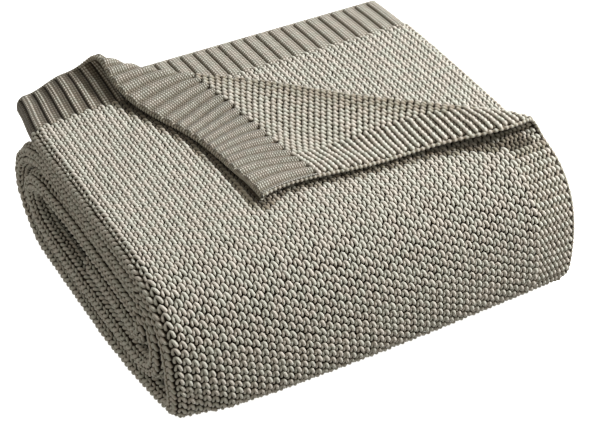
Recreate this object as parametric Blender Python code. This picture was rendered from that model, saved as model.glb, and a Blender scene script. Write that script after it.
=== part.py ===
"""A knit blanket folded into a bundle: one cloth, folded in four across its width and then rolled flat
in six legs, with one corner of its top layer turned back. Metres, Z up, resting on z = 0, its front facing -Y."""
import bpy
import numpy as np
from mathutils import Vector
from mathutils.geometry import delaunay_2d_cdt

# The bundle
LENGTH = 0.42            # along X, from the folds at the left to the side edge at the right
DEPTH = 0.3680           # along Y, from the front to the hem
LEG = 0.0250             # height taken by four layers
LAYER = 0.0059           # from one layer to the next
CLOTH = 0.0048           # the cloth's thickness
LEFT_FOLD = 0.0120       # X of the left folds' centre
RIGHT_FOLD = 0.4103      # X of the right fold's centre
FRONT_TURNS = 3
HEM = 0.060              # width of the ribbed hem
RIB = 0.0144             # from one groove of the hem to the next
GROOVE = 0.0018          # depth of the grooves
MIDDLE = (0.210515, 0.183295, 0.00125)   # taken off, so that the bundle stands centred on z = 0

# The turns of the rolled cloth seen from its end: reach of the upper and of the lower quarter, share of the
# turn's height taken by the lower one, and the power of each quarter's curve (2 is an ellipse)
FRONT = ((0.0850, 0.0450, 0.27, 2.35, 2.9), (0.0480, 0.0400, 0.40, 2.2, 2.1), (0.0124, 0.0124, 0.50, 2.0, 2.0))
BACK = ((0.0750, 0.0600, 0.52, 2.0, 2.0), (0.0450, 0.0500, 0.55, 2.0, 2.0))
SLACK = 0.0060           # the turns stand this much further in, each than the one around it
BACK_LOOSE = 0.0040
CORE_END = 0.20          # Y where the cloth ends inside the roll
DROOP = 0.0020           # the hem hangs this low at the back
DROOP_REACH = 0.060

# The left folds stand a little in or out from leg to leg: metres along the cloth, and the shift
LEFT_SHIFT = ((0.0, 0.0), (0.30, 0.0), (0.40, 0.001), (0.455, 0.006), (0.52, 0.0), (0.58, -0.0025), (0.72, -0.0025),
              (0.80, -0.001), (0.88, 0.003), (1.00, 0.002), (1.12, 0.001), (1.22, -0.001), (1.36, -0.004),
              (1.46, -0.004), (1.60, 0.001), (2.1, 0.002))
HEM_IN = (0.0090, 0.050, 0.045)          # the hem's left end is drawn in: how far, and its reach along X and s
# How far the outer front turn bulges near the floor: place along X and the bulge, then its place and reach along s
BELLY = ((-0.01, -0.006), (0.012, -0.005), (0.05, 0.004), (0.10, 0.0065), (0.20, 0.0065), (0.28, 0.0045),
         (0.36, 0.0015), (0.43, 0.0))
BELLY_AT, BELLY_REACH = 0.44, 0.06
EDGE_OUT = (0.0030, 0.35, 0.05)          # the same for the side edge of the top layer
RIGHT_OUT = (0.0060, 0.14, 0.17)         # the right fold of the top leg stands out: how far, where and its reach

# The corner of the top layer: where the fold meets the hem (X) and the side edge (Y), and the roll's radius
# at the hem, in the middle and at the side edge
FOLD_X, FOLD_Y = 0.0568, 0.0604
ROLL = (0.0160, 0.0090, 0.0093)
ROLL_REACH = (0.0436, 0.0600)
HEM_LIFT, HEM_LIFT_REACH = 0.0118, 0.0514
EDGE_LIFT = 0.0035
SHEAR = -0.0997
BEND = 0.0085
REST, SETTLE = 0.0075, 0.085
# Where the turned corner is pulled aside: place on the flat layer (X, metres from the hem), shift along both
# and height
PULLS = ((0.14, 0.00, -0.0004, 0.0021, 0.0002), (0.20, 0.00, -0.0003, -0.0142, -0.0009),
         (0.27, 0.00, 0.0161, -0.0018, 0.0004), (0.35, 0.00, 0.0096, -0.0102, 0.0007),
         (0.42, 0.00, 0.0059, -0.0335, 0.0026), (0.42, 0.08, 0.0017, -0.0280, 0.0016),
         (0.42, 0.17, -0.0049, -0.0172, 0.0029), (0.42, 0.26, 0.0060, 0.0061, 0.0021),
         (0.26, 0.07, -0.0041, -0.0246, 0.0018), (0.34, 0.10, 0.0040, 0.0194, -0.0005))
PULL_REACH = 0.065


def smooth(t):
    t = np.clip(t, 0, 1)
    return t * t * (3 - 2 * t)


def quarter(y, z, a, b, start, power):
    t = np.radians(np.linspace(start, start + 90, 40))
    c, s = np.cos(t), np.sin(t)
    return np.stack([y + a * np.sign(c) * np.abs(c) ** (2 / power),
                     z + b * np.sign(s) * np.abs(s) ** (2 / power)], 1)


def roll_line():
    """The middle of the four layers, seen from the bundle's end: it starts at the hem and winds inwards."""
    top = [(2 * FRONT_TURNS - k - 0.5) * LEG for k in range(FRONT_TURNS)]
    low = [(k + 0.5) * LEG for k in range(FRONT_TURNS)]
    y = np.linspace(DEPTH, FRONT[0][0] + 0.02, 80)
    droop = DROOP * np.clip((y - DEPTH + DROOP_REACH) / DROOP_REACH, 0, 1) ** 2
    parts = [np.stack([y, top[0] - droop], 1)]
    for k in range(FRONT_TURNS):
        upper, lower, share, power_up, power_low = FRONT[k]
        height = top[k] - low[k]
        middle = low[k] + height * share
        edge = (k + 0.5) * LEG + k * SLACK
        parts.append(quarter(edge + upper, middle, upper, top[k] - middle, 90, power_up))
        parts.append(quarter(edge + lower, middle, lower, middle - low[k], 180, power_low)[1:])
        if k == FRONT_TURNS - 1:
            break
        upper, lower, share, power_up, power_low = BACK[k]
        height = top[k + 1] - low[k]
        middle = low[k] + height * share
        edge = DEPTH - (k + 0.5) * LEG - k * SLACK + BACK_LOOSE
        parts.append(quarter(edge - lower, middle, lower, middle - low[k], 270, power_low))
        parts.append(quarter(edge - upper, middle, upper, top[k + 1] - middle, 0, power_up)[1:])
    parts.append(np.array([[CORE_END, low[-1]]]))
    line = np.concatenate(parts)
    step = np.linalg.norm(np.diff(line, axis=0), axis=1)
    line = line[np.concatenate([[True], step > 1e-6])]
    far = np.concatenate([[0], np.cumsum(np.linalg.norm(np.diff(line, axis=0), axis=1))])
    at = np.linspace(0, far[-1], int(round(far[-1] / 0.001)) + 1)
    line = np.stack([np.interp(at, far, line[:, i]) for i in (0, 1)], 1)
    for _ in range(6):
        line[1:-1] = (line[:-2] + 2 * line[1:-1] + line[2:]) / 4
    return at, line


FAR, LINE = roll_line()
TANGENT = np.gradient(LINE, axis=0)
TANGENT /= np.linalg.norm(TANGENT, axis=1)[:, None]
NORMAL = np.stack([TANGENT[:, 1], -TANGENT[:, 0]], 1)
CLOTH_LENGTH = FAR[-1]

# The parts of the cloth's width: the top layer, the outer left fold, the bottom layer, the right fold, the second
# layer, the inner left fold and the third layer
RUNS = (LENGTH - LEFT_FOLD, np.pi * 1.5 * LAYER, RIGHT_FOLD - LEFT_FOLD, np.pi * LAYER, RIGHT_FOLD - LEFT_FOLD,
        np.pi * 0.5 * LAYER, RIGHT_FOLD - 0.002 - LEFT_FOLD)
ENDS = np.concatenate([[0], np.cumsum(RUNS)])
CLOTH_WIDTH = ENDS[-1]


def along(s):
    """Point and outward normal of the roll's line, s metres from the hem."""
    at = np.clip(s, 0, CLOTH_LENGTH)
    c, n, t = (np.stack([np.interp(at, FAR, a[:, i]) for i in (0, 1)], -1) for a in (LINE, NORMAL, TANGENT))
    return c + t * (s - at)[..., None], n / np.linalg.norm(n, axis=-1, keepdims=True)


def place(x, off, s):
    """Point at x, off the roll's line by off, the left end moved in or out."""
    c, n = along(s)
    q = c + n * off[..., None]
    belly = np.interp(x, *np.array(BELLY).T) * np.exp(-((s - BELLY_AT) / BELLY_REACH) ** 2)
    shift = np.interp(s, *np.array(LEFT_SHIFT).T)
    x = x + shift * np.clip((LENGTH - x) / (LENGTH - LEFT_FOLD), 0, 1.1)
    x = x + HEM_IN[0] * np.exp(-(np.clip(x, 0, None) / HEM_IN[1]) ** 2 - (np.clip(s, 0, None) / HEM_IN[2]) ** 2)
    return np.stack([x, q[..., 0] - belly, q[..., 1]], -1)


def fold_frame():
    e = np.array([LENGTH - FOLD_X, DEPTH - FOLD_Y])
    span = np.linalg.norm(e)
    e = e / span
    return e, np.array([e[1], -e[0]]), span


def roll_radius(w, span):
    near_hem = np.exp(-(np.clip(w, 0, None) / ROLL_REACH[0]) ** 2)
    near_edge = np.exp(-(np.clip(span - w, 0, None) / ROLL_REACH[1]) ** 2)
    return ROLL[1] + (ROLL[0] - ROLL[1]) * near_hem + (ROLL[2] - ROLL[1]) * near_edge


def top_layer(x, s):
    """The top layer with its corner turned back over it. Places past the fold go round a roll and lie on top."""
    e, n, span = fold_frame()
    w = (x - FOLD_X) * e[0] + s * e[1]
    f = w / span
    t = (x - FOLD_X) * n[0] + s * n[1] - BEND * np.clip(4 * f * (1 - f), 0, 1)
    r = roll_radius(w, span)
    half = np.pi * r
    past = np.clip(t, 0, None)
    far = np.clip(t - half, 0, None)
    u = np.where((t > 0) & (t < half), r * np.sin(past / r), np.where(t >= half, -far, t))
    hover = REST + (2 * r - REST) * (1 - smooth(far / SETTLE))
    h = np.where((t > 0) & (t < half), r * (1 - np.cos(past / r)), np.where(t >= half, hover, 0.0))
    bx = x + (u - t) * n[0] + SHEAR * far * e[0]
    bs = s + (u - t) * n[1] + SHEAR * far * e[1]
    ramp = smooth(past / (half + 0.02))
    for at_x, at_s, move_x, move_s, up in PULLS:
        g = ramp * np.exp(-((x - at_x) ** 2 + (s - at_s) ** 2) / PULL_REACH ** 2)
        bx = bx + g * move_x
        bs = bs + g * move_s
        h = h + g * up
    ww = (bx - FOLD_X) * e[0] + bs * e[1]
    tt = (bx - FOLD_X) * n[0] + bs * n[1]
    lift = HEM_LIFT * np.exp(-(np.clip(bs, 0, None) / HEM_LIFT_REACH) ** 2) * smooth((bx - 0.012) / 0.050)
    lift = lift + EDGE_LIFT * np.exp(-((span - ww) / 0.05) ** 2 - (tt / 0.05) ** 2)
    out = EDGE_OUT[0] * np.exp(-((s - EDGE_OUT[1]) / EDGE_OUT[2]) ** 2) * smooth((x - 0.25) / 0.15)
    return place(bx + out, 1.5 * LAYER + lift + h, bs)


def middle(p, s):
    """Point of the cloth's middle surface, p metres in from the top layer's side edge and s metres from the hem."""
    d = LAYER
    part = np.clip(np.searchsorted(ENDS, p, side="right") - 1, 0, 6)
    q = p - ENDS[part]
    which = [part == i for i in range(7)]
    x = np.select(which, [LENGTH - q, LEFT_FOLD - 1.5 * d * np.sin(q / (1.5 * d)), LEFT_FOLD + q,
                          RIGHT_FOLD + d * np.sin(q / d), RIGHT_FOLD - q, LEFT_FOLD - 0.5 * d * np.sin(2 * q / d),
                          LEFT_FOLD + q])
    off = np.select(which, [1.5 * d + 0 * q, 1.5 * d * np.cos(q / (1.5 * d)), -1.5 * d + 0 * q,
                            -0.5 * d - d * np.cos(q / d), 0.5 * d + 0 * q, 0.5 * d * np.cos(2 * q / d),
                            -0.5 * d + 0 * q])
    out = RIGHT_OUT[0] * np.exp(-((s - RIGHT_OUT[1]) / RIGHT_OUT[2]) ** 2) * smooth((x - 0.25) / 0.15)
    flat = place(x + out, off, s)
    return np.where(which[0][..., None], top_layer(x, s), flat)


def face_normal(p, s, step=1e-4):
    a = middle(p + step, s) - middle(p - step, s)
    b = middle(p, s + step) - middle(p, s - step)
    m = np.cross(a, b)
    return m / np.linalg.norm(m, axis=-1, keepdims=True)


def rib_depth(p, s):
    """How deep the face of the cloth lies at the hem's grooves."""
    q = np.abs((p / RIB) % 1 - 0.5) * 2
    return GROOVE * smooth((q - 0.62) / 0.38) * (s < HEM - 0.004)


def rows():
    """Distances from the hem with the mesh's rows: closer where the roll turns."""
    turn = np.abs(np.diff(np.unwrap(np.arctan2(TANGENT[:, 1], TANGENT[:, 0]))))
    cost = np.concatenate([[0], np.cumsum(np.maximum(turn / np.radians(17), np.diff(FAR) / 0.13))])
    return np.interp(np.linspace(0, cost[-1], int(np.ceil(cost[-1])) + 1), cost, FAR)


def columns():
    """Distances from the side edge with the mesh's columns: ends of the runs and steps round the folds."""
    steps = (3, 8, 1, 7, 1, 6, 1)
    found = [np.linspace(ENDS[i], ENDS[i + 1], steps[i] + 1)[:-1] for i in range(7)]
    return np.concatenate(found + [[CLOTH_WIDTH]])


def past_fold(p, s):
    """How far a place of the top layer lies past the fold, less than nothing before it."""
    e, n, span = fold_frame()
    f = ((LENGTH - p - FOLD_X) * e[0] + s * e[1]) / span
    return (LENGTH - p - FOLD_X) * n[0] + s * n[1] - BEND * np.clip(4 * f * (1 - f), 0, 1)


def flat_points():
    """Points of the flat cloth for the mesh, and the edges it has to have: rows across the cloth, which keep its
    turns as sharp as they are."""
    first, edges = [(p, 0.0) for p in columns()], []
    for s in rows():
        if s <= HEM + 0.012:
            continue
        across = columns()
        if 0.25 < s < 0.42:
            across = np.concatenate([np.linspace(0, RUNS[0], 10)[:-1], across[across > RUNS[0] - 1e-9]])
        line = [(p, s) for p in across]
        first += line
        for a, b in zip(line[:-1], line[1:]):
            flat = past_fold(a[0], s) < -0.006 and past_fold(b[0], s) < -0.006
            if a[0] > RUNS[0] - 1e-9 or (s > 0.25 and flat):
                edges.append((a, b))
    rib = np.concatenate([[n * RIB, n * RIB + 0.0040, n * RIB + 0.0104] for n in range(int(CLOTH_WIDTH / RIB) + 1)])
    rib = rib[(rib > 0.001) & (rib < CLOTH_WIDTH - 0.001)]
    rib = np.unique(np.round(np.concatenate([[0, CLOTH_WIDTH], rib]), 6))
    hem = [(p, s) for p in rib for s in (0.0, HEM - 0.006)]
    plain = np.unique(np.round(np.concatenate([[0], np.arange(1, CLOTH_WIDTH / RIB) * RIB, ENDS[1:]]), 6))
    plain = [(p, HEM - 0.002) for p in plain]
    first += plain
    edges += list(zip(plain[:-1], plain[1:]))
    hem += [(p, s) for p in columns() for s in (0.0, HEM - 0.006, HEM - 0.002) if p > RUNS[0] - 0.001]
    roll_ribs = rib[(rib > LENGTH - 0.22) & (rib < LENGTH - 0.03)]
    hem += [(p, s) for p in roll_ribs for s in (0.018, 0.037)]
    e, n, span = fold_frame()
    extra = [(0.0, s) for s in np.concatenate([np.arange(0.02, 0.20, 0.022), np.arange(0.20, 0.345, 0.0045)])]
    spread = []
    for w in np.arange(-0.02, span + 0.03, 0.024):
        half = np.pi * roll_radius(np.array(w), span)
        f = w / span
        bend = BEND * np.clip(4 * f * (1 - f), 0, 1)
        steps = np.concatenate([np.linspace(0, 1, 10) * half, [half + 0.018, half + 0.045, -0.02]])
        spread += [(w, t + bend) for t in steps]
    for w in np.arange(0, span, 0.036):
        spread += [(w, t) for t in (-0.05, 0.12, 0.155, 0.19, 0.215)]
    for w, t in spread:
        x, s = FOLD_X + w * e[0] + t * n[0], w * e[1] + t * n[1]
        if 0.020 < x < LENGTH - 0.002 and HEM + 0.004 < s < 0.40:
            extra.append((LENGTH - x, s))
    kept = []
    for group, apart in ((first, 0), (hem, 0.0006), (extra, 0.0034)):
        for q in group:
            if not kept or not apart:
                kept.append(q)
                continue
            near = np.abs(np.array(kept) - q)
            if np.hypot(near[:, 0], near[:, 1]).min() > apart:
                kept.append(q)
    kept = np.unique(np.round(np.array(kept), 7), axis=0)
    index = {tuple(q): i for i, q in enumerate(kept.tolist())}
    edges = [tuple(index[tuple(np.round(q, 7).tolist())] for q in edge) for edge in edges]
    return kept, edges


def cloth_mesh(name, material):
    flat, rows_across = flat_points()
    edge = []
    for axis, value in ((1, 0.0), (0, CLOTH_WIDTH), (1, CLOTH_LENGTH), (0, 0.0)):
        on = np.nonzero(np.abs(flat[:, axis] - value) < 1e-6)[0]
        order = on[np.argsort(flat[on, 1 - axis])]
        if (axis, value) in ((1, CLOTH_LENGTH), (0, 0.0)):
            order = order[::-1]
        edge += list(order[:-1])
    ring = [(int(a), int(b)) for a, b in zip(edge, edge[1:] + edge[:1])]
    points, _, faces, source, _, _ = delaunay_2d_cdt([Vector(q) for q in flat], ring + rows_across, [], 1, 1e-7)
    flat = np.array([tuple(q) for q in points])
    back_to = {int(k): i for i, group in enumerate(source) for k in group}
    ring = [(back_to[a], back_to[b]) for a, b in ring]
    faces = np.array([tuple(f) for f in faces])
    a, b, c = (flat[faces[:, i]] for i in range(3))
    area = (b[:, 0] - a[:, 0]) * (c[:, 1] - a[:, 1]) - (b[:, 1] - a[:, 1]) * (c[:, 0] - a[:, 0])
    faces = np.where((area < 0)[:, None], faces[:, ::-1], faces)
    p, s = flat[:, 0], flat[:, 1]
    mid = middle(p, s)
    normal = face_normal(p, s)
    face_side = mid + normal * (CLOTH / 2 - rib_depth(p, s))[:, None]
    back_side = mid - normal * (CLOTH / 2)
    count = len(flat)
    points = np.concatenate([face_side, back_side]) - np.array(MIDDLE)
    walls = [t for a, b in ring for t in ((a, a + count, b + count), (a, b + count, b))]
    faces = np.concatenate([faces, faces[:, ::-1] + count, np.array(walls)])
    mesh = bpy.data.meshes.new(name)
    mesh.from_pydata(points.tolist(), [], faces.tolist())
    mesh.validate()
    mesh.materials.append(material)
    thing = bpy.data.objects.new(name, mesh)
    bpy.context.collection.objects.link(thing)
    return thing


def knit_material():
    material = bpy.data.materials.new("knit")
    material.use_nodes = True
    shader = material.node_tree.nodes["Principled BSDF"]
    shader.inputs["Base Color"].default_value = (0.42, 0.39, 0.34, 1)
    shader.inputs["Roughness"].default_value = 0.95
    return material


for thing in list(bpy.data.objects):
    bpy.data.objects.remove(thing)
blanket = cloth_mesh("blanket", knit_material())
low = np.array([v.co[:] for v in blanket.data.vertices]).min(0)
high = np.array([v.co[:] for v in blanket.data.vertices]).max(0)
print("box", low.round(5).tolist(), high.round(5).tolist(), "triangles", len(blanket.data.polygons),
      "cloth", round(float(CLOTH_WIDTH), 4), round(float(CLOTH_LENGTH), 4))
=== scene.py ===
"""Looks of the folded knit blanket: a thin ground cloth on the solid's folds, and the yarn of its stitches.
Metres, in the solid's own frame. Every place on the cloth is given by p, its distance from the side edge of
the top layer, and s, its distance from the hem."""
import bpy
import numpy as np
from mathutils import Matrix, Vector


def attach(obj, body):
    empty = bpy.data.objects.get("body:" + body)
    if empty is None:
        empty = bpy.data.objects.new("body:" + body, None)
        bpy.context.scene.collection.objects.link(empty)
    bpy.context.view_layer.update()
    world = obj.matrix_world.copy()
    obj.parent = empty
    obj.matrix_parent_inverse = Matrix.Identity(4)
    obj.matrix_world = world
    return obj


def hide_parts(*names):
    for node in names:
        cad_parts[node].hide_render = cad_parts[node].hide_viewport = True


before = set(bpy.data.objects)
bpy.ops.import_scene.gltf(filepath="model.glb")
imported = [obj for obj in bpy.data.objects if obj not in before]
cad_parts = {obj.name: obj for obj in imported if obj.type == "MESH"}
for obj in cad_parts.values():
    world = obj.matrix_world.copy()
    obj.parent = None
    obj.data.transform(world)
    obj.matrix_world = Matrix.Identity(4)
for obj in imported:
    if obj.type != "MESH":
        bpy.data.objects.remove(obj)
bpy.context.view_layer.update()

RANDOM = np.random.default_rng(7)

# The bundle, as in the part's source
LENGTH = 0.42
DEPTH = 0.3680
LEG = 0.0250
LAYER = 0.0059
LEFT_FOLD = 0.0120
RIGHT_FOLD = 0.4103
FRONT_TURNS = 3
HEM = 0.060
RIB = 0.0144
MIDDLE = (0.210515, 0.183295, 0.00125)    # taken off every point, so that the bundle lies at the origin
# Each turn of the roll: its upper and lower depth, where its middle is, and the upper and lower roundness
FRONT = ((0.0850, 0.0450, 0.27, 2.35, 2.9),
         (0.0480, 0.0400, 0.40, 2.2, 2.1),
         (0.0124, 0.0124, 0.50, 2.0, 2.0))
BACK = ((0.0750, 0.0600, 0.52, 2.0, 2.0),
        (0.0450, 0.0500, 0.55, 2.0, 2.0))
SLACK = 0.0060
BACK_LOOSE = 0.0040
CORE_END = 0.20
DROOP = 0.0020
DROOP_REACH = 0.060
# How far the left end is moved along X, at places along s
LEFT_SHIFT = ((0.0, 0.0), (0.30, 0.0), (0.40, 0.001), (0.455, 0.006), (0.52, 0.0), (0.58, -0.0025),
              (0.72, -0.0025), (0.80, -0.001), (0.88, 0.003), (1.00, 0.002), (1.12, 0.001), (1.22, -0.001),
              (1.36, -0.004), (1.46, -0.004), (1.60, 0.001), (2.1, 0.002))
# The hem's left end is drawn in: how far, and its reach along X and s
HEM_IN = (0.0090, 0.050, 0.045)
# How far the outer front turn bulges near the floor: place along X and the bulge, then where along s it is
# and its reach
BELLY = ((-0.01, -0.006), (0.012, -0.005), (0.05, 0.004), (0.10, 0.0065), (0.20, 0.0065), (0.28, 0.0045),
         (0.36, 0.0015), (0.43, 0.0))
BELLY_AT = 0.44
BELLY_REACH = 0.06
# The side edge of the top layer and the right fold stand out: how far, where along s and the reach. Both do
# so from this X on, over this distance
EDGE_OUT = (0.0030, 0.35, 0.05)
RIGHT_OUT = (0.0060, 0.14, 0.17)
OUT_FROM = 0.25
OUT_RAMP = 0.15

# The turned corner, as in the part's source
FOLD_X = 0.0568
FOLD_Y = 0.0604
# Radius of the fold's roll at the hem, between its ends and at the side edge, and the reach of the end ones
ROLL = (0.0160, 0.0090, 0.0093)
ROLL_REACH = (0.0436, 0.0600)
HEM_LIFT = 0.0118
HEM_LIFT_REACH = 0.0514
EDGE_LIFT = 0.0035
EDGE_LIFT_REACH = 0.05
SHEAR = -0.0997
BEND = 0.0085
REST = 0.0075
SETTLE = 0.085
# Places of the turned corner that are pulled: x and s of the place, then the pull along x, s and up
PULLS = ((0.14, 0.00, -0.0004, 0.0021, 0.0002), (0.20, 0.00, -0.0003, -0.0142, -0.0009),
         (0.27, 0.00, 0.0161, -0.0018, 0.0004), (0.35, 0.00, 0.0096, -0.0102, 0.0007),
         (0.42, 0.00, 0.0059, -0.0335, 0.0026), (0.42, 0.08, 0.0017, -0.0280, 0.0016),
         (0.42, 0.17, -0.0049, -0.0172, 0.0029), (0.42, 0.26, 0.0060, 0.0061, 0.0021),
         (0.26, 0.07, -0.0041, -0.0246, 0.0018), (0.34, 0.10, 0.0040, 0.0194, -0.0005))
PULL_REACH = 0.065

# The knit
GROUND = 0.0006            # half the ground cloth's thickness
COLUMN = 0.0072            # from one column of stitches to the next
ROW = 0.0070               # from one row to the next on the front
HEM_ROW = 0.0063           # the same near the hem
ROW_GROWS = (0.18, 0.14)   # the s from which the one goes over into the other, and over what distance
BORDER = 0.0400            # width of the side border
WALE = 0.0047              # from one wale of the side border to the next
BORDER_ROW = 0.0078
REVERSE_COLUMN = 0.0049
REVERSE_ROW = 0.0063
REVERSE_RIB = 0.0125
RIB_WALES = 5              # fine wales in a rib of the hem's reverse
HEM_BEAT = 0.0036          # from one bead of the hem's edge yarn to the next
SIDE_BEAT = 0.0048         # the same for the side edge
BEAD_SIZE = 0.32           # how much an edge yarn's radius grows at a bead
BEAD_LIGHT = 0.7           # how much painted light an edge yarn gets at a bead

# Places along the cloth, as s except for the first
HEM_TURNED = 0.36          # the hem is turned over from p = 0 up to this p
SIDE_TURNED = 0.30         # the side edge is turned over from the hem up to here
CORNER_END = 0.36          # the turned corner and its painted shade lie before this
TOP_END = 0.27             # the top layer goes over into the front
SECOND_END = 0.37          # the second layer shows before this
OUTER_END = 0.90           # the first turn round the bundle ends, below the top layer
# Distances past the turned corner's fold, less than 0 on the flat part
BEFORE_ROLL = -0.02        # the second layer shows after this, and the corner's painted shade covers what lies before it
REVERSE_START = -0.012     # the reverse's stitches start here
# Other limits of the pieces
LEFT_SHOWN = 0.010         # how far the left fold's stitches go on beside it
RIGHT_SHOWN = 0.009        # the same for the right fold
BORDER_MARGIN = 0.004      # from the hem to the side border's first row, and from its last to the inner end
OUTERMOST_WALE = 0.006     # p, before which only the side border's outermost wale lies
ROLL_SHOWN = 0.9           # share of the fold's roll whose face has stitches
UNDERSIDE = -0.85          # a face whose normal's Z is less lies on the floor

# Painted shade under and beside the turned corner: the least painted light, where it begins to grow and over
# what distance
HEM_SHADE = (0.12, 0.004, 0.009)
SIDE_SHADE = (0.20, 0.001, 0.005)
# How much longer the last distance is at the side edge's end of the roll: from what X on, over what distance
SIDE_SHADE_MORE = (0.013, 0.35, 0.05)
# Painted light of the reverse's stitches, how much painted shade takes from it on the roll's steep side and
# with what reach, and the painted light of the side border's inner yarn on the face and on the reverse
REVERSE_LIGHT = 1.22
STEEP_PAINTED_SHADE = 0.50
STEEP_REACH = 0.016
BORDER_INNER_LIGHT = 0.7
ROPE_INNER_LIGHT = 0.8

# Yarn colours with painted shade, from the depth of the knit to its outermost places
SHADED_YARN = (0.046, 0.034, 0.021)
HALF_LIT_YARN = (0.305, 0.270, 0.212)
LIT_YARN = (0.600, 0.580, 0.530)
WAVE_SCALE = np.pi / 10    # the scale of a wave texture whose waves are 1 m long


def smooth(t):
    t = np.clip(t, 0, 1)
    return t * t * (3 - 2 * t)


def bell(x, at, reach, power=2):
    """A soft bump, 1 at its middle."""
    return np.exp(-((x - at) / reach) ** power)


def quarter(y, z, a, b, start, power):
    """A quarter of a superellipse, as points from the angle start onwards."""
    t = np.radians(np.linspace(start, start + 90, 40))
    c, s = np.cos(t), np.sin(t)
    return np.stack([y + a * np.sign(c) * np.abs(c) ** (2 / power),
                     z + b * np.sign(s) * np.abs(s) ** (2 / power)], 1)


def roll_line():
    """The middle of the four layers, seen from the bundle's end: it starts at the hem and winds inwards."""
    top = [(2 * FRONT_TURNS - k - 0.5) * LEG for k in range(FRONT_TURNS)]
    low = [(k + 0.5) * LEG for k in range(FRONT_TURNS)]
    y = np.linspace(DEPTH, FRONT[0][0] + 0.02, 80)
    droop = DROOP * np.clip((y - DEPTH + DROOP_REACH) / DROOP_REACH, 0, 1) ** 2
    parts = [np.stack([y, top[0] - droop], 1)]
    for k in range(FRONT_TURNS):
        upper, lower, share, power_up, power_low = FRONT[k]
        height = top[k] - low[k]
        middle_z = low[k] + height * share
        edge = (k + 0.5) * LEG + k * SLACK
        parts.append(quarter(edge + upper, middle_z, upper, top[k] - middle_z, 90, power_up))
        parts.append(quarter(edge + lower, middle_z, lower, middle_z - low[k], 180, power_low)[1:])
        if k == FRONT_TURNS - 1:
            break
        upper, lower, share, power_up, power_low = BACK[k]
        height = top[k + 1] - low[k]
        middle_z = low[k] + height * share
        edge = DEPTH - (k + 0.5) * LEG - k * SLACK + BACK_LOOSE
        parts.append(quarter(edge - lower, middle_z, lower, middle_z - low[k], 270, power_low))
        parts.append(quarter(edge - upper, middle_z, upper, top[k + 1] - middle_z, 0, power_up)[1:])
    parts.append(np.array([[CORE_END, low[-1]]]))
    line = np.concatenate(parts)
    step = np.linalg.norm(np.diff(line, axis=0), axis=1)
    line = line[np.concatenate([[True], step > 1e-6])]
    far = np.concatenate([[0], np.cumsum(np.linalg.norm(np.diff(line, axis=0), axis=1))])
    at = np.linspace(0, far[-1], int(round(far[-1] / 0.001)) + 1)
    line = np.stack([np.interp(at, far, line[:, i]) for i in (0, 1)], 1)
    for _ in range(6):
        line[1:-1] = (line[:-2] + 2 * line[1:-1] + line[2:]) / 4
    return at, line


FAR, LINE = roll_line()
TANGENT = np.gradient(LINE, axis=0)
TANGENT /= np.linalg.norm(TANGENT, axis=1)[:, None]
NORMAL = np.stack([TANGENT[:, 1], -TANGENT[:, 0]], 1)
CLOTH_LENGTH = FAR[-1]
# The runs of the cloth across the bundle: top layer, left fold, bottom layer, right fold, second layer,
# inner left fold and third layer
RUNS = (LENGTH - LEFT_FOLD, np.pi * 1.5 * LAYER, RIGHT_FOLD - LEFT_FOLD, np.pi * LAYER,
        RIGHT_FOLD - LEFT_FOLD, np.pi * 0.5 * LAYER, RIGHT_FOLD - 0.002 - LEFT_FOLD)
ENDS = np.concatenate([[0], np.cumsum(RUNS)])
CLOTH_WIDTH = ENDS[-1]
TOP_RUN = 0
SECOND_RUN = 4


def run_at(p):
    """Which run of the cloth each distance from the side edge lies in."""
    return np.clip(np.searchsorted(ENDS, p, side="right") - 1, 0, len(RUNS) - 1)


def along(s):
    """Point and outward normal of the roll's line, s metres from the hem."""
    at = np.clip(s, 0, CLOTH_LENGTH)
    c, n, t = (np.stack([np.interp(at, FAR, a[:, i]) for i in (0, 1)], -1)
               for a in (LINE, NORMAL, TANGENT))
    return c + t * (s - at)[..., None], n / np.linalg.norm(n, axis=-1, keepdims=True)


def place(x, off, s):
    """Point at x, off the roll's line by off, the left end moved in or out."""
    c, n = along(s)
    q = c + n * off[..., None]
    belly = np.interp(x, *np.array(BELLY).T) * bell(s, BELLY_AT, BELLY_REACH)
    shift = np.interp(s, *np.array(LEFT_SHIFT).T)
    x = x + shift * np.clip((LENGTH - x) / (LENGTH - LEFT_FOLD), 0, 1.1)
    near_end = -(np.clip(x, 0, None) / HEM_IN[1]) ** 2 - (np.clip(s, 0, None) / HEM_IN[2]) ** 2
    x = x + HEM_IN[0] * np.exp(near_end)
    return np.stack([x, q[..., 0] - belly, q[..., 1]], -1)


def stand_out(x, s, shape):
    """How far the cloth stands out along X near its right end."""
    far, at_s, reach = shape
    return far * bell(s, at_s, reach) * smooth((x - OUT_FROM) / OUT_RAMP)


def fold_frame():
    """Directions along and across the corner's fold, and the fold's length."""
    e = np.array([LENGTH - FOLD_X, DEPTH - FOLD_Y])
    span = np.linalg.norm(e)
    e = e / span
    return e, np.array([e[1], -e[0]]), span


def roll_radius(w, span):
    """Radius of the fold's roll, w metres along the fold: larger near the hem."""
    near_hem = bell(np.clip(w, 0, None), 0, ROLL_REACH[0])
    near_edge = bell(np.clip(span - w, 0, None), 0, ROLL_REACH[1])
    return ROLL[1] + (ROLL[0] - ROLL[1]) * near_hem + (ROLL[2] - ROLL[1]) * near_edge


def roll_turn(w):
    """How much cloth goes round the fold's roll."""
    return np.pi * roll_radius(w, fold_frame()[2])


def past_fold(x, s):
    """How far a place of the top layer lies past the fold, and where along it."""
    e, n, span = fold_frame()
    w = (x - FOLD_X) * e[0] + s * e[1]
    f = w / span
    return (x - FOLD_X) * n[0] + s * n[1] - BEND * np.clip(4 * f * (1 - f), 0, 1), w


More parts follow.
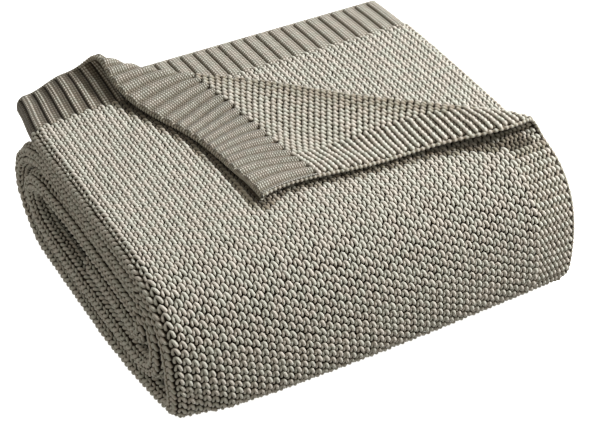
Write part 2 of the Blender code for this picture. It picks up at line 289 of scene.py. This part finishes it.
def top_layer(x, s):
    """The top layer with its corner turned back: places past the fold go round a roll and lie on top."""
    e, n, span = fold_frame()
    t, w = past_fold(x, s)
    r = roll_radius(w, span)
    half = np.pi * r
    past = np.clip(t, 0, None)
    far = np.clip(t - half, 0, None)
    u = np.where((t > 0) & (t < half), r * np.sin(past / r), np.where(t >= half, -far, t))
    hover = REST + (2 * r - REST) * (1 - smooth(far / SETTLE))
    h = np.where((t > 0) & (t < half), r * (1 - np.cos(past / r)), np.where(t >= half, hover, 0.0))
    bx = x + (u - t) * n[0] + SHEAR * far * e[0]
    bs = s + (u - t) * n[1] + SHEAR * far * e[1]
    ramp_up = smooth(past / (half + 0.02))
    for at_x, at_s, move_x, move_s, up in PULLS:
        g = ramp_up * np.exp(-((x - at_x) ** 2 + (s - at_s) ** 2) / PULL_REACH ** 2)
        bx = bx + g * move_x
        bs = bs + g * move_s
        h = h + g * up
    ww = (bx - FOLD_X) * e[0] + bs * e[1]
    tt = (bx - FOLD_X) * n[0] + bs * n[1]
    near_hem = bell(np.clip(bs, 0, None), 0, HEM_LIFT_REACH)
    lift = HEM_LIFT * near_hem * smooth((bx - LEFT_FOLD) / 0.050)
    lift = lift + EDGE_LIFT * np.exp(-((span - ww) / EDGE_LIFT_REACH) ** 2 - (tt / EDGE_LIFT_REACH) ** 2)
    return place(bx + stand_out(x, s, EDGE_OUT), 1.5 * LAYER + lift + h, bs)


def middle(p, s):
    """Point of the cloth's middle surface."""
    d = LAYER
    run = run_at(p)
    q = p - ENDS[run]
    which = [run == i for i in range(len(RUNS))]
    x = np.select(which, [LENGTH - q,
                          LEFT_FOLD - 1.5 * d * np.sin(q / (1.5 * d)),
                          LEFT_FOLD + q,
                          RIGHT_FOLD + d * np.sin(q / d),
                          RIGHT_FOLD - q,
                          LEFT_FOLD - 0.5 * d * np.sin(2 * q / d),
                          LEFT_FOLD + q])
    off = np.select(which, [1.5 * d + 0 * q,
                            1.5 * d * np.cos(q / (1.5 * d)),
                            -1.5 * d + 0 * q,
                            -0.5 * d - d * np.cos(q / d),
                            0.5 * d + 0 * q,
                            0.5 * d * np.cos(2 * q / d),
                            -0.5 * d + 0 * q])
    flat = place(x + stand_out(x, s, RIGHT_OUT), off, s)
    return np.where(which[TOP_RUN][..., None], top_layer(x, s), flat)


def face_normal(p, s, step=1e-4):
    """Direction in which the cloth's face looks."""
    a = middle(p + step, s) - middle(p - step, s)
    b = middle(p, s + step) - middle(p, s - step)
    m = np.cross(a, b)
    return m / np.linalg.norm(m, axis=-1, keepdims=True)


def raised(p, s, height):
    """Points of the cloth height metres above its face, or below it where height is negative."""
    return middle(p, s) + face_normal(p, s) * np.asarray(height)[..., None] - np.array(MIDDLE)


def line_length(points):
    """How far along a line each of its points lies."""
    return np.concatenate([[0], np.cumsum(np.linalg.norm(np.diff(points, axis=0), axis=1))])


def mesh_object(name, points, quads, flat, material, lit=None):
    """A smooth mesh with two UV maps: each point's place on the flat cloth, and how open to light it lies,
    which sets its painted shade.
    """
    points = np.array(points, np.float32)
    points[:, 2] = np.maximum(points[:, 2], 0.0001)
    quads = np.array(quads, np.int32)
    mesh = bpy.data.meshes.new(name)
    mesh.vertices.add(len(points))
    mesh.vertices.foreach_set("co", points.ravel())
    mesh.loops.add(quads.size)
    mesh.loops.foreach_set("vertex_index", quads.ravel())
    mesh.polygons.add(len(quads))
    mesh.polygons.foreach_set("loop_start", np.arange(0, quads.size, 4, dtype=np.int32))
    mesh.update(calc_edges=True)
    mesh.validate()
    mesh.polygons.foreach_set("use_smooth", np.ones(len(mesh.polygons), bool))
    layer = mesh.uv_layers.new(name="flat")
    corner = np.empty(len(mesh.loops), np.int32)
    mesh.loops.foreach_get("vertex_index", corner)
    layer.uv.foreach_set("vector", np.array(flat, np.float32)[corner].ravel())
    if lit is not None:
        layer = mesh.uv_layers.new(name="lit")
        both = np.stack([0 * lit, lit], 1).astype(np.float32)
        layer.uv.foreach_set("vector", both[corner].ravel())
    mesh.materials.append(material)
    thing = bpy.data.objects.new(name, mesh)
    bpy.context.scene.collection.objects.link(thing)
    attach(thing, "root")
    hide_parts("blanket")
    return thing


def grid_quads(rows, columns):
    """Quads of a grid of rows times columns points, in the order of row after row."""
    i, j = np.meshgrid(np.arange(rows - 1), np.arange(columns - 1), indexing="ij")
    a = (i * columns + j).ravel()
    return np.stack([a, a + 1, a + columns + 1, a + columns], 1)


def strip(name, p_lines, s_lines, height, material, low, high, side=1, across=None):
    """An open surface over part of the cloth, on its face or, with side -1, on its reverse. Its yarn has
    painted shade, dark at the height low and light at the height high. Where across is given, it turns p into
    the flat map's distance."""
    p, s = np.meshgrid(p_lines, s_lines)
    points = raised(p, s, side * height(p, s)).reshape(-1, 3)
    quads = grid_quads(len(s_lines), len(p_lines))
    if side < 0:
        quads = quads[:, ::-1]
    lit = np.clip((height(p, s).ravel() - low) / (high - low), 0, 1)
    if across is not None:
        p = across(p)
    return mesh_object(name, points, quads, np.stack([p.ravel(), s.ravel()], 1), material, lit)


# A stitch's yarn: the ends of its section in degrees, the painted light at its flanks and at the height 0,
# and the rise over which the painted light grows by 1
SECTION = (-18, 198)
FLANK_LIGHT = 0.35
LOW_LIGHT = 0.15
LIGHT_RISE = 0.0018


def tubes(name, p, s, height, radius, material, side=1, around=5, whole=False, painted_light=1.0):
    """Yarn through rows of places: each row of the arrays is one piece of yarn, its section the outer part of
    a circle, or a whole one. The outer part gets painted shade at its flanks and where the yarn lies low, and
    a factor scales the painted light of each piece."""
    count, rings = p.shape
    normal = face_normal(p, s) * side
    centre = middle(p, s) + normal * height[..., None] - np.array(MIDDLE)
    run = np.gradient(centre, axis=1)
    run /= np.linalg.norm(run, axis=-1, keepdims=True)
    across = np.cross(run, normal)
    across /= np.linalg.norm(across, axis=-1, keepdims=True)
    up = np.cross(across, run)
    if whole:
        angle = np.linspace(0, 2 * np.pi, around, endpoint=False)
        sides = around
        lit = np.full((count, rings, around), 0.5)
    else:
        angle = np.radians(np.linspace(*SECTION, around))
        sides = around - 1
        flank = np.clip(FLANK_LIGHT + 0.85 * np.sin(angle), 0, 1)
        lit = flank * np.clip(LOW_LIGHT + height / LIGHT_RISE, 0, 1)[..., None]
    ring = np.cos(angle)[:, None] * across[:, :, None, :] + np.sin(angle)[:, None] * up[:, :, None, :]
    points = centre[:, :, None, :] + radius[..., None, None] * ring
    k, m = np.meshgrid(np.arange(rings - 1), np.arange(sides), indexing="ij")
    k, m = k.ravel() * around, m.ravel()
    following = (m + 1) % around
    one = np.stack([k + m, k + around + m, k + around + following, k + following], 1)
    quads = (np.arange(count) * rings * around)[:, None, None] + one[None]
    flat = np.stack([np.repeat(p.ravel(), around), np.repeat(s.ravel(), around)], 1)
    lit = lit * painted_light
    return mesh_object(name, points.reshape(-1, 3), quads.reshape(-1, 4), flat, material, lit.ravel())


# One stitch seen from the face, the hem above: across, along, height and yarn radius, in millimetres
ARCH = np.array([(-2.1, 3.2, 0.0, 1.0), (-2.3, 1.7, 1.6, 1.45), (-2.1, -0.4, 2.0, 1.5),
                 (-1.5, -2.0, 1.4, 1.2), (-0.4, -2.6, 2.1, 1.6), (0.5, -1.3, 2.5, 1.8),
                 (1.1, 0.5, 2.6, 1.9), (1.55, 2.2, 2.0, 1.8), (1.75, 3.4, 0.1, 1.1)])
ARCH_PLAIN = np.array([(-2.6, 4.6, 0.6, 1.3), (-1.6, -0.3, 1.7, 1.5), (0.0, -2.7, 1.2, 1.4),
                       (1.6, -0.3, 1.7, 1.5), (2.6, 4.6, 0.6, 1.3)])
STROKE = np.array([(-0.8, -2.1, 0.7, 1.3), (-0.4, -1.0, 1.7, 1.8), (0.1, 0.2, 1.9, 1.95),
                   (0.5, 1.3, 1.7, 1.8), (0.8, 2.3, 0.7, 1.3)])
TUCK = np.array([(1.1, -1.8, 0.7, 1.3), (0.4, -0.6, 1.5, 1.6), (-0.3, 0.6, 1.5, 1.6), (-1.1, 1.8, 0.7, 1.3)])
ROPE = np.array([(-2.4, 0.2, 0.5, 1.3), (-1.4, 0.0, 1.5, 2.0), (0.0, -0.1, 1.9, 2.4),
                 (1.4, 0.0, 1.5, 2.0), (2.4, 0.2, 0.5, 1.3)])
ROPE_INNER = np.array([(-2.4, 0.0, 0.0, 1.4), (0.0, 0.0, 0.2, 1.7), (2.4, 0.0, 0.0, 1.4)])
PURL = np.array([(-2.9, 1.4, 0.5, 1.7), (-1.5, 0.3, 1.0, 2.1), (0.0, -0.4, 1.3, 2.3),
                 (1.5, 0.3, 1.0, 2.1), (2.9, 1.4, 0.5, 1.7)])

# How much one stitch differs from the next, as standard deviations
VARY_WIDTH = 0.035
VARY_PITCH = 0.03
VARY_LEAN = 0.05
VARY_PLACE = 0.00018
VARY_HEIGHT = 0.06
VARY_RADIUS = 0.04


def stitches(name, p, s, shape, pitch=1.0, width=1.0, side=1, around=5, painted_light=1.0):
    """A stitch of the given shape at each place, none of them quite like the next. Pitch and width stretch it
    along and across the cloth."""
    count = len(p)
    u, v, h, r = (shape[:, i] / 1000 for i in range(4))
    wide = (width * (1 + RANDOM.normal(0, VARY_WIDTH, count)))[:, None]
    tall = (pitch * (1 + RANDOM.normal(0, VARY_PITCH, count)))[:, None]
    lean = RANDOM.normal(0, VARY_LEAN, count)[:, None]
    at_p = p[:, None] - (u[None] * wide + v[None] * lean) + RANDOM.normal(0, VARY_PLACE, count)[:, None]
    at_s = s[:, None] + v[None] * tall + u[None] * lean + RANDOM.normal(0, VARY_PLACE, count)[:, None]
    height = h[None] * (1 + RANDOM.normal(0, VARY_HEIGHT, count))[:, None]
    radius = r[None] * (1 + RANDOM.normal(0, VARY_RADIUS, count))[:, None]
    painted_light = np.reshape(painted_light, (-1, 1, 1))
    return tubes(name, at_p, at_s, height, radius, yarn, side, around, painted_light=painted_light)


def node(tree, kind, **values):
    made = tree.nodes.new(kind)
    for key, value in values.items():
        if key in made.inputs:
            made.inputs[key].default_value = value
        else:
            setattr(made, key, value)
    return made


def ramp(tree, source, *stops):
    """The colours of source's values: each stop is a value and its colour."""
    made = node(tree, "ShaderNodeValToRGB")
    elements = made.color_ramp.elements
    for i, (at, color) in enumerate(stops):
        if i < 2:
            stop = elements[i]
            stop.position = at
        else:
            stop = elements.new(at)
        stop.color = (*color, 1)
    tree.links.new(source, made.inputs["Fac"])
    return made.outputs["Color"]


def multiplied(tree, first, second):
    """The product of two colours."""
    made = node(tree, "ShaderNodeMix", data_type="RGBA", blend_type="MULTIPLY")
    made.inputs["Factor"].default_value = 1.0
    tree.links.new(first, made.inputs[6])
    tree.links.new(second, made.inputs[7])
    return made.outputs[2]


def noise(tree, scale, detail):
    """A noise that stays with the object."""
    where = node(tree, "ShaderNodeTexCoord")
    made = node(tree, "ShaderNodeTexNoise", Scale=scale, Detail=detail)
    tree.links.new(where.outputs["Object"], made.inputs["Vector"])
    return made.outputs["Fac"]


def bump(tree, height, strength, distance, under=None):
    """A bump of the given height, on top of another where under is given."""
    made = node(tree, "ShaderNodeBump", Strength=strength, Distance=distance)
    tree.links.new(height, made.inputs["Height"])
    if under is not None:
        tree.links.new(under, made.inputs["Normal"])
    return made.outputs["Normal"]


def plain_material(name, **values):
    """A material with the given values on its shader, its tree and the shader."""
    material = bpy.data.materials.new(name)
    material.use_nodes = True
    shader = material.node_tree.nodes["Principled BSDF"]
    for key, value in values.items():
        shader.inputs[key.replace("_", " ")].default_value = value
    return material, material.node_tree, shader


def yarn_material(name, wale=None, row=None, depth=None):
    """Matt cotton yarn: warm grey with small changes of shade from stitch to stitch, and fibres, with painted
    shade where the lit map says little light gets there. Where wale, row and depth are given, fine stitches
    of that width, length and depth are on it, with painted shade in the gaps between them."""
    material, tree, shader = plain_material(name, Roughness=0.92, Specular_IOR_Level=0.25,
                                            Sheen_Weight=0.25, Sheen_Roughness=0.5)
    link = tree.links.new
    open_map = node(tree, "ShaderNodeUVMap", uv_map="lit")
    split = node(tree, "ShaderNodeSeparateXYZ")
    link(open_map.outputs["UV"], split.inputs["Vector"])
    # painted shade: the yarn's colour darkens with the lit map, in the knit's depths and at the flanks of its
    # yarn
    painted_depth_shade = ramp(tree, split.outputs["Y"], (0.0, SHADED_YARN), (0.45, HALF_LIT_YARN), (1.0, LIT_YARN))
    tones = ramp(tree, noise(tree, 150.0, 1.0), (0.35, (0.86, 0.86, 0.85)), (0.65, (1, 1, 1)))
    hues = ramp(tree, noise(tree, 110.0, 0.0), (0.38, (0.965, 1.0, 0.975)), (0.62, (1.0, 0.97, 0.95)))
    color = multiplied(tree, multiplied(tree, tones, hues), painted_depth_shade)
    normal = bump(tree, noise(tree, 900.0, 2.0), 0.5, 0.0004)
    if wale is not None:
        flat = node(tree, "ShaderNodeUVMap", uv_map="flat")
        rows = node(tree, "ShaderNodeTexWave", wave_type="BANDS", bands_direction="Y",
                    Scale=WAVE_SCALE / row, Distortion=1.2, Detail=1.0)
        rows.inputs["Detail Scale"].default_value = 2.0
        wales = node(tree, "ShaderNodeTexWave", wave_type="BANDS", bands_direction="X",
                     Scale=WAVE_SCALE / wale)
        both = node(tree, "ShaderNodeMath", operation="MULTIPLY")
        link(flat.outputs["UV"], rows.inputs["Vector"])
        link(flat.outputs["UV"], wales.inputs["Vector"])
        link(rows.outputs["Fac"], both.inputs[0])
        link(wales.outputs["Fac"], both.inputs[1])
        normal = bump(tree, both.outputs["Value"], 1.0, depth, normal)
        # painted shade in the gaps between the fine stitches
        painted_gap_shade = ramp(tree, both.outputs["Value"], (0.05, (0.36, 0.33, 0.29)), (0.50, (1, 1, 1)))
        color = multiplied(tree, color, painted_gap_shade)
    link(color, shader.inputs["Base Color"])
    link(normal, shader.inputs["Normal"])
    return material


def ground_material():
    """The inner yarn seen between the stitches, dark because little light gets there."""
    material, tree, shader = plain_material("inner_yarn", Roughness=1.0, Specular_IOR_Level=0.05)
    spots = noise(tree, 420.0, 2.0)
    color = ramp(tree, spots, (0.35, (0.018, 0.014, 0.010)), (0.7, (0.055, 0.045, 0.034)))
    tree.links.new(color, shader.inputs["Base Color"])
    tree.links.new(bump(tree, spots, 0.6, 0.0006), shader.inputs["Normal"])
    return material


def ground_cloth(material):
    """The thin cloth on the solid's folds, closed at its edges."""
    steps = (100, 9, 14, 8, 26, 6, 12)    # columns of faces in each run
    lines = [np.linspace(ENDS[i], ENDS[i + 1], steps[i] + 1)[:-1] for i in range(len(RUNS))]
    p_lines = np.concatenate(lines + [[CLOTH_WIDTH]])
    # Lines along the hem lie close on the top, the front and the turns, and further apart inside
    turn = np.abs(np.diff(np.unwrap(np.arctan2(TANGENT[:, 1], TANGENT[:, 0]))))
    each = np.where(FAR[:-1] < 0.40, 0.004, 0.020)
    cost = np.concatenate([[0], np.cumsum(np.maximum(turn / np.radians(7), np.diff(FAR) / each))])
    s_lines = np.interp(np.linspace(0, cost[-1], int(np.ceil(cost[-1])) + 1), cost, FAR)
    p, s = np.meshgrid(p_lines, s_lines)
    rows, columns = p.shape
    count = p.size
    face = raised(p, s, GROUND + 0 * p).reshape(-1, 3)
    back = raised(p, s, -GROUND + 0 * p).reshape(-1, 3)
    quads = grid_quads(rows, columns)
    first = np.arange(columns)
    last_row = first + (rows - 1) * columns
    left = np.arange(rows) * columns
    right = left + columns - 1
    walls = []
    for line, flip in ((first, False), (last_row, True), (left, True), (right, False)):
        a, b = line[:-1], line[1:]
        wall = np.stack([a, a + count, b + count, b], 1)
        walls.append(wall[:, ::-1] if flip else wall)
    quads = np.concatenate([quads, quads[:, ::-1] + count] + walls)
    flat = np.stack([p.ravel(), s.ravel()], 1)
    points = np.concatenate([face, back])
    return mesh_object("ground_cloth", points, quads, np.concatenate([flat, flat]), material)


def row_places():
    """How many rows lie before each distance from the hem: they are closer near it than on the front."""
    step = 0.0005
    s = np.arange(HEM - 0.002, CLOTH_LENGTH - 0.004, step)
    pitch = HEM_ROW + (ROW - HEM_ROW) * smooth((s - ROW_GROWS[0]) / ROW_GROWS[1])
    count = np.concatenate([[0], np.cumsum(step / pitch[:-1])])
    return s, count, pitch


def body_places():
    """Places of all stitches outside hem and border, each second column half a row further on, and how long
    the rows are there, as a share of those on the front."""
    s_fine, count, pitch = row_places()
    all_p, all_s = [], []
    for j, p in enumerate(np.arange(BORDER + COLUMN / 2, CLOTH_WIDTH - 0.003, COLUMN)):
        index = np.arange(0.62 + 0.5 * (j % 2), count[-1], 1.0)
        all_s.append(np.interp(index, count, s_fine))
        all_p.append(np.full(len(index), p))
    p, s = np.concatenate(all_p), np.concatenate(all_s)
    return p, s, np.interp(s, s_fine, pitch) / ROW


def painted_corner_shade(spots):
    """Painted shade beside the turned corner: how much painted light places keep, little near its hem and its
    side edge.
    """
    at_hem = np.arange(0.0, HEM_TURNED, 0.003)
    at_side = np.arange(0.0, SIDE_TURNED, 0.003)
    hem_line = middle(at_hem, 0 * at_hem)[:, :2]
    side_line = middle(0 * at_side, at_side)[:, :2]
    near_hem = np.linalg.norm(spots[:, None, :2] - hem_line[None], axis=2).min(axis=1)
    near_side = np.linalg.norm(spots[:, None, :2] - side_line[None], axis=2).min(axis=1)
    least, start, reach = HEM_SHADE
    by_hem = least + (1 - least) * smooth((near_hem - start) / reach)
    least, start, reach = SIDE_SHADE
    more, from_x, over = SIDE_SHADE_MORE
    reach = reach + more * smooth((spots[:, 0] - from_x) / over)
    by_side = least + (1 - least) * smooth((near_side - start) / reach)
    return np.minimum(by_hem, by_side)


def reverse_places(columns, row_stagger, column_stagger):
    """Places on the turned corner's reverse, at distances from the side edge that are measured on the cloth
    as it lies. Each second column or row is some way further on. The last result is how much flat cloth lies
    in a metre there."""
    fine = np.arange(0, 0.37, 0.001)
    found = []
    for i, row in enumerate(np.arange(HEM + 0.003, CORNER_END, REVERSE_ROW)):
        length = line_length(middle(fine, row + 0 * fine))
        at = columns + column_stagger * WALE * (i % 2)
        s = row + row_stagger * REVERSE_ROW * (np.arange(len(columns)) % 2)
        share = np.interp(at, length, np.gradient(fine, length))
        found.append(np.stack([np.interp(at, length, fine), s, share]))
    p, s, share = np.concatenate(found, axis=1)
    keep = past_fold(LENGTH - p, s)[0] > REVERSE_START
    return p[keep], s[keep], share[keep]


# The hem's ribs: height of the face's panel, of the wale on it and of the wale's two lines, and the depth of
# the groove
PANEL = 0.0019
WALE_HEIGHT = 0.0006
LINE_HEIGHT = 0.0010
GROOVE_DEPTH = 0.0016
# The reverse: height at the hem's edge, how much more it is further in, half the height of the ribs and of
# their fine wales, and the depth of the holes
REVERSE_EDGE = 0.0008
REVERSE_MORE = 0.0015
BROAD_HEIGHT = 0.0011
FINE_HEIGHT = 0.0005
HOLE_DEPTH = 0.0022


def rib_height(p, s):
    """The hem's face: in each rib a wale of two close lines, a groove on one side of it and a panel."""
    q = (p / RIB) % 1
    lines = bell(q, 0.38, 0.07) + bell(q, 0.58, 0.07)
    wale = bell(q, 0.48, 0.22, 4)
    groove = bell(q, 0.77, 0.075)
    end = smooth((s + 0.001) / 0.005) * smooth((HEM + 0.004 - s) / 0.008)
    return PANEL + end * (WALE_HEIGHT * wale + LINE_HEIGHT * lines - GROOVE_DEPTH * groove)


# Lengths along the turned corner's hem, measured on its band at this distance from the hem's edge
MEASURED_AT = 0.045
HEM_P = np.arange(-0.002, 0.380, 0.001)
HEM_LENGTH = line_length(middle(HEM_P, MEASURED_AT + 0 * HEM_P))


def on_hem(p):
    """How far along the turned corner's hem a place lies, measured on the cloth as it lies."""
    return np.interp(p, HEM_P, HEM_LENGTH)


def rib_reverse(p, s):
    """The hem's reverse: soft broad ribs of fine wales, and a hole at the inner end of each rib."""
    q = (on_hem(p) / REVERSE_RIB) % 1
    end = smooth((s + 0.002) / 0.004)
    hole = bell(q, 0.5, 0.13) * bell(s, HEM + 0.0005, 0.0022)
    broad = BROAD_HEIGHT * np.cos(2 * np.pi * q)
    fine = FINE_HEIGHT * np.cos(2 * RIB_WALES * np.pi * q)
    return REVERSE_EDGE + end * (REVERSE_MORE + broad + fine) - HOLE_DEPTH * hole


def edge_yarn(name, p, s, radius, beat, height=0.0001, painted_light=1.0):
    """The rounded yarn that ends an edge of the cloth, with a bead at each stitch, beat metres apart, painted
    light on each bead and painted shade between them.
    """
    length = np.concatenate([[0], np.cumsum(np.hypot(np.diff(p), np.diff(s)))])
    wave = np.cos(2 * np.pi * length / beat)
    bead = radius * (1 + BEAD_SIZE * wave)
    painted_light = painted_light * (1 + BEAD_LIGHT * wave)
    return tubes(name, p[None], s[None], height + 0 * p[None], bead[None], yarn, around=7, whole=True,
                 painted_light=painted_light[None, :, None])


yarn = yarn_material("knit_yarn")
hem_yarn = yarn_material("hem_knit", wale=0.0036, row=0.0034, depth=0.0006)
band_yarn = yarn_material("band_knit", wale=REVERSE_RIB / RIB_WALES, row=0.0026, depth=0.0014)
inner = ground_material()

cloth = ground_cloth(inner)

# The body's stitches on the face, where they show
body_p, body_s, body_pitch = body_places()
run = run_at(body_p)
on_top = run == TOP_RUN
on_second = run == SECOND_RUN
body_x = np.where(on_top, LENGTH - body_p, RIGHT_FOLD - (body_p - ENDS[SECOND_RUN]))
t, w = past_fold(body_x, body_s)
spot = middle(body_p, body_s)
near_left = np.abs(body_p - (ENDS[1] + ENDS[2]) / 2) < RUNS[1] / 2 + LEFT_SHOWN
near_right = np.abs(body_p - (ENDS[3] + ENDS[4]) / 2) < RUNS[3] / 2 + RIGHT_SHOWN
outer = on_top & (body_s < OUTER_END) & (t < roll_turn(w) * ROLL_SHOWN)
under = outer & (face_normal(body_p, body_s)[:, 2] < UNDERSIDE)
second = on_second & (body_s < SECOND_END) & (t > BEFORE_ROLL)
full = (outer & ~under) | near_left | near_right | second
zones = {"stitches_top": full & on_top & (body_s < TOP_END),
         "stitches_front": full & on_top & (body_s >= TOP_END),
         "stitches_second_layer": second,
         "stitches_left_fold": near_left & ~on_top,
         "stitches_right_fold": near_right & ~second & ~on_top}
# painted shadow on the stitches under and beside the turned corner
below_corner = (t < BEFORE_ROLL) & (body_s < SIDE_TURNED) & (on_top | on_second)
corner_painted_shade = np.where(below_corner, painted_corner_shade(spot), 1.0)
for name, chosen in zones.items():
    stitches(name, body_p[chosen], body_s[chosen], ARCH, body_pitch[chosen], width=1.12,
                           painted_light=corner_painted_shade[chosen])
chosen = under & ~full
stitches("stitches_underside", body_p[chosen], body_s[chosen], ARCH_PLAIN, body_pitch[chosen],
                       around=4)

# The side border on the face
wale_lines = np.arange(0.0024 + WALE / 2, BORDER, WALE)
row_lines = np.arange(HEM + BORDER_MARGIN, CLOTH_LENGTH - BORDER_MARGIN, BORDER_ROW)
p, s = (grid.ravel() for grid in np.meshgrid(wale_lines, row_lines))
t, w = past_fold(LENGTH - p, s)
keep = (s < OUTER_END) & (t < roll_turn(w) * ROLL_SHOWN) | (p < OUTERMOST_WALE)
p, s, t = p[keep], s[keep], t[keep]
# painted shadow on the side border beside the turned corner
corner_painted_shade = np.where((t < 0) & (s < CORNER_END), painted_corner_shade(middle(p, s)), 1.0)
stitches("border_face", p, s, STROKE, painted_light=corner_painted_shade)
# the inner yarn gets painted shade
stitches("border_face_inner", p + WALE / 2, s + BORDER_ROW / 2, TUCK, around=4,
                       painted_light=BORDER_INNER_LIGHT * corner_painted_shade)

# The turned corner's reverse, lighter by painted light, with painted shade on the steep side of the roll
columns = np.arange(BORDER + 0.002, 0.40, REVERSE_COLUMN)
p, s, share = reverse_places(columns, row_stagger=0.5, column_stagger=0)
t, w = past_fold(LENGTH - p, s)
steep = bell(t, roll_turn(w), STEEP_REACH)
stitches("stitches_reverse", p, s, PURL, width=share, side=-1,
                       painted_light=REVERSE_LIGHT - STEEP_PAINTED_SHADE * steep)
columns = np.arange(0.0030, BORDER - WALE / 2, WALE)
p, s, share = reverse_places(columns, row_stagger=0, column_stagger=0.5)
stitches("border_reverse", p, s, ROPE, width=share, side=-1)
# the inner yarn gets painted shade
stitches("border_reverse_inner", p, s + REVERSE_ROW / 2, ROPE_INNER, width=share, side=-1,
                       around=4, painted_light=ROPE_INNER_LIGHT)

# The ribbed hem on the face of the top and second layers and on the turned corner's reverse
s_lines = np.array([-0.0005, 0.0008, 0.0025, 0.005, 0.009, 0.013, 0.017, 0.021, 0.025, 0.029, 0.033, 0.037,
                    0.041, 0.045, 0.049, 0.053, 0.056, 0.058, 0.060, 0.062])
# painted shade in the hem's valleys, set by the heights low and high; darker on the top layer's hem
strip("hem_top_layer", np.arange(-0.0009, ENDS[2] + 0.012, 0.0009), s_lines, rib_height,
                    hem_yarn, low=0.0014, high=0.0034)
strip("hem_second_layer", np.arange(ENDS[3] - 0.012, ENDS[5], 0.0009), s_lines, rib_height,
                    hem_yarn, low=-0.0010, high=0.0025)
strip("hem_reverse", np.arange(-0.0009, 0.375, 0.0005), s_lines, rib_reverse,
                    band_yarn, low=-0.0002, high=0.0024, side=-1, across=on_hem)

# The edges: the turned corner's hem curls down at its edge
p = np.arange(-0.0006, CLOTH_WIDTH, 0.0008)
curl = smooth((0.345 - p) / 0.03)
edge_yarn("hem_edge", p, 0 * p + 0.0006, radius=0.0018 + 0.0004 * curl, beat=HEM_BEAT,
                        height=0.0001 + 0.0012 * curl)
# the side edge's yarn gets a little more painted light
s = np.arange(0, CLOTH_LENGTH, 0.0012)
edge_yarn("side_edge", 0 * s + 0.0004, s, radius=0.0016, beat=SIDE_BEAT, painted_light=1.1)


def light(name, place_at, target, size, power):
    lamp = bpy.data.lights.new(name, "AREA")
    lamp.shape = "DISK"
    lamp.size = size
    lamp.energy = power
    thing = bpy.data.objects.new(name, lamp)
    thing.location = place_at
    thing.rotation_euler = (Vector(target) - Vector(place_at)).to_track_quat("-Z", "Y").to_euler()
    bpy.context.scene.collection.objects.link(thing)


# The floor, the lights and the camera
floor_mesh = bpy.data.meshes.new("floor")
floor_mesh.from_pydata([(-6, -6, 0), (6, -6, 0), (6, 6, 0), (-6, 6, 0)], [], [(0, 1, 2, 3)])
pale = plain_material("floor", Base_Color=(0.92, 0.92, 0.915, 1), Roughness=0.9,
                      Emission_Color=(1, 1, 1, 1), Emission_Strength=0.95)[0]
floor_mesh.materials.append(pale)
floor = bpy.data.objects.new("floor", floor_mesh)
floor.visible_diffuse = False
bpy.context.scene.collection.objects.link(floor)

light("key", (1.65, -0.70, 1.45), (0, 0, 0.08), 0.40, 77)
light("top", (0.3, 0.3, 2.2), (0, 0, 0.1), 1.6, 10)
world = bpy.data.worlds.new("studio")
bpy.context.scene.world = world
world.use_nodes = True
world.node_tree.nodes["Background"].inputs["Color"].default_value = (1, 0.945, 0.83, 1)
world.node_tree.nodes["Background"].inputs["Strength"].default_value = 0.37
bpy.context.scene.view_settings.view_transform = "Standard"

camera = bpy.data.cameras.new("camera")
camera.lens = 104.38
camera.sensor_width = 36
camera.clip_start = 0.05
eye = bpy.data.objects.new("camera", camera)
eye.location = (-0.646215, -1.199895, 1.09785)
eye.rotation_euler = np.radians((52.35, 0, -28.95)).tolist()
bpy.context.scene.collection.objects.link(eye)
bpy.context.scene.camera = eye
